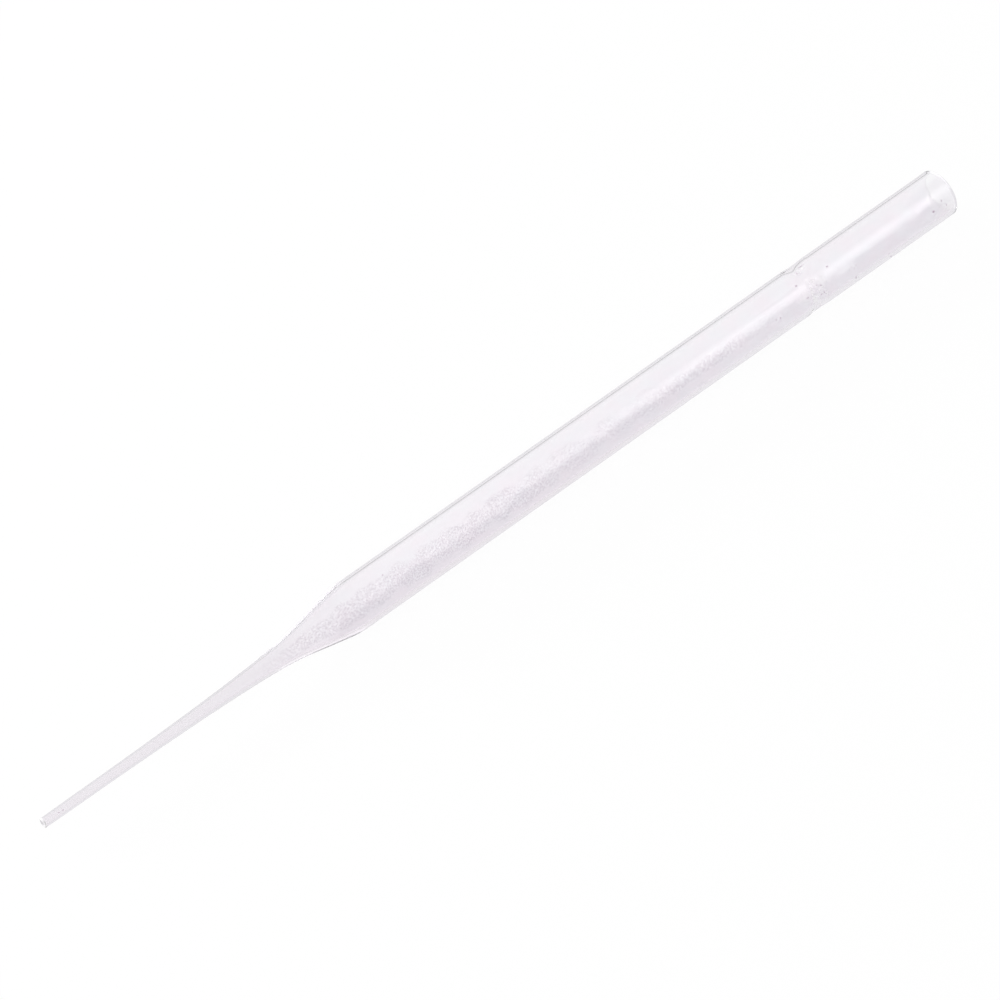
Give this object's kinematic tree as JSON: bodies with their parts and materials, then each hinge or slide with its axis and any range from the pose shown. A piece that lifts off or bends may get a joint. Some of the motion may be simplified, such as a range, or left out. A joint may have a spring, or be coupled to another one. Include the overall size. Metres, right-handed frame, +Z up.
{
  "type": "dropper pipette",
  "caption": "Straight plastic dropper pipette: an open mouth for a rubber teat, a pinched ring that stops a plug, a parallel barrel, a tapered shoulder and a long fine nozzle.",
  "frame": {"origin": "on the surface the pipette lies on, under the middle of its length", "axes": "+X along the tube from the tip to the mouth, +Z up from the surface it lies on"},
  "size_m": [0.15, 0.0068, 0.0068],
  "materials": {
    "clear_plastic": "see-through to milky plastic with a faint lilac tint, smooth, with a fine haze near the shoulder"
  },
  "bodies": {
    "root": {"pipette": "clear_plastic"}
  },
  "joints": []
}
